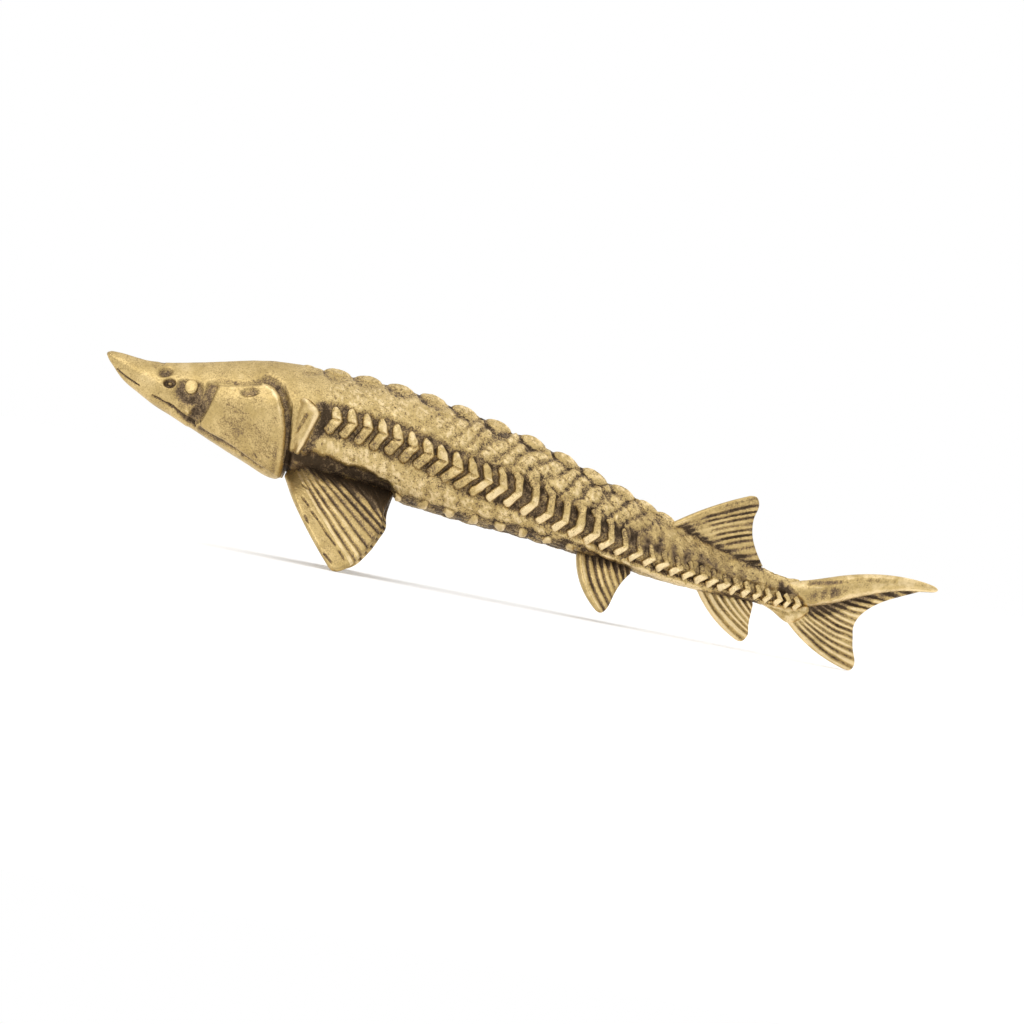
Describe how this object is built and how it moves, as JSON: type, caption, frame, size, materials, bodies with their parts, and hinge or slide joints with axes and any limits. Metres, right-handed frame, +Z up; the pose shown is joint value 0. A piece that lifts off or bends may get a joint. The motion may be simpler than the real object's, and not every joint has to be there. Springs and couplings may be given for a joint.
{
  "type": "fish figurine",
  "caption": "Cast brass sturgeon figurine with rows of bony scutes, rayed fins and a forked tail, standing on the tips of its pectoral fins and tail.",
  "frame": {"origin": "middle of the footprint box, on the surface the figurine stands on", "axes": "+X from snout to tail, +Z up, -Y towards the left flank"},
  "size_m": [0.1, 0.0262, 0.0233],
  "materials": {
    "aged_brass": "satin cast brass, dark brown patina in the recesses"
  },
  "bodies": {
    "root": {"trunk": "aged_brass", "head": "aged_brass", "left_gill_cover": "aged_brass", "right_gill_cover": "aged_brass", "left_shoulder_plate": "aged_brass", "right_shoulder_plate": "aged_brass", "left_eye": "aged_brass", "right_eye": "aged_brass", "left_pectoral_fin": "aged_brass", "right_pectoral_fin": "aged_brass", "left_pelvic_fin": "aged_brass", "right_pelvic_fin": "aged_brass", "dorsal_fin": "aged_brass", "anal_fin": "aged_brass", "tail_lobe": "aged_brass", "tail_fin": "aged_brass"}
  },
  "joints": []
}
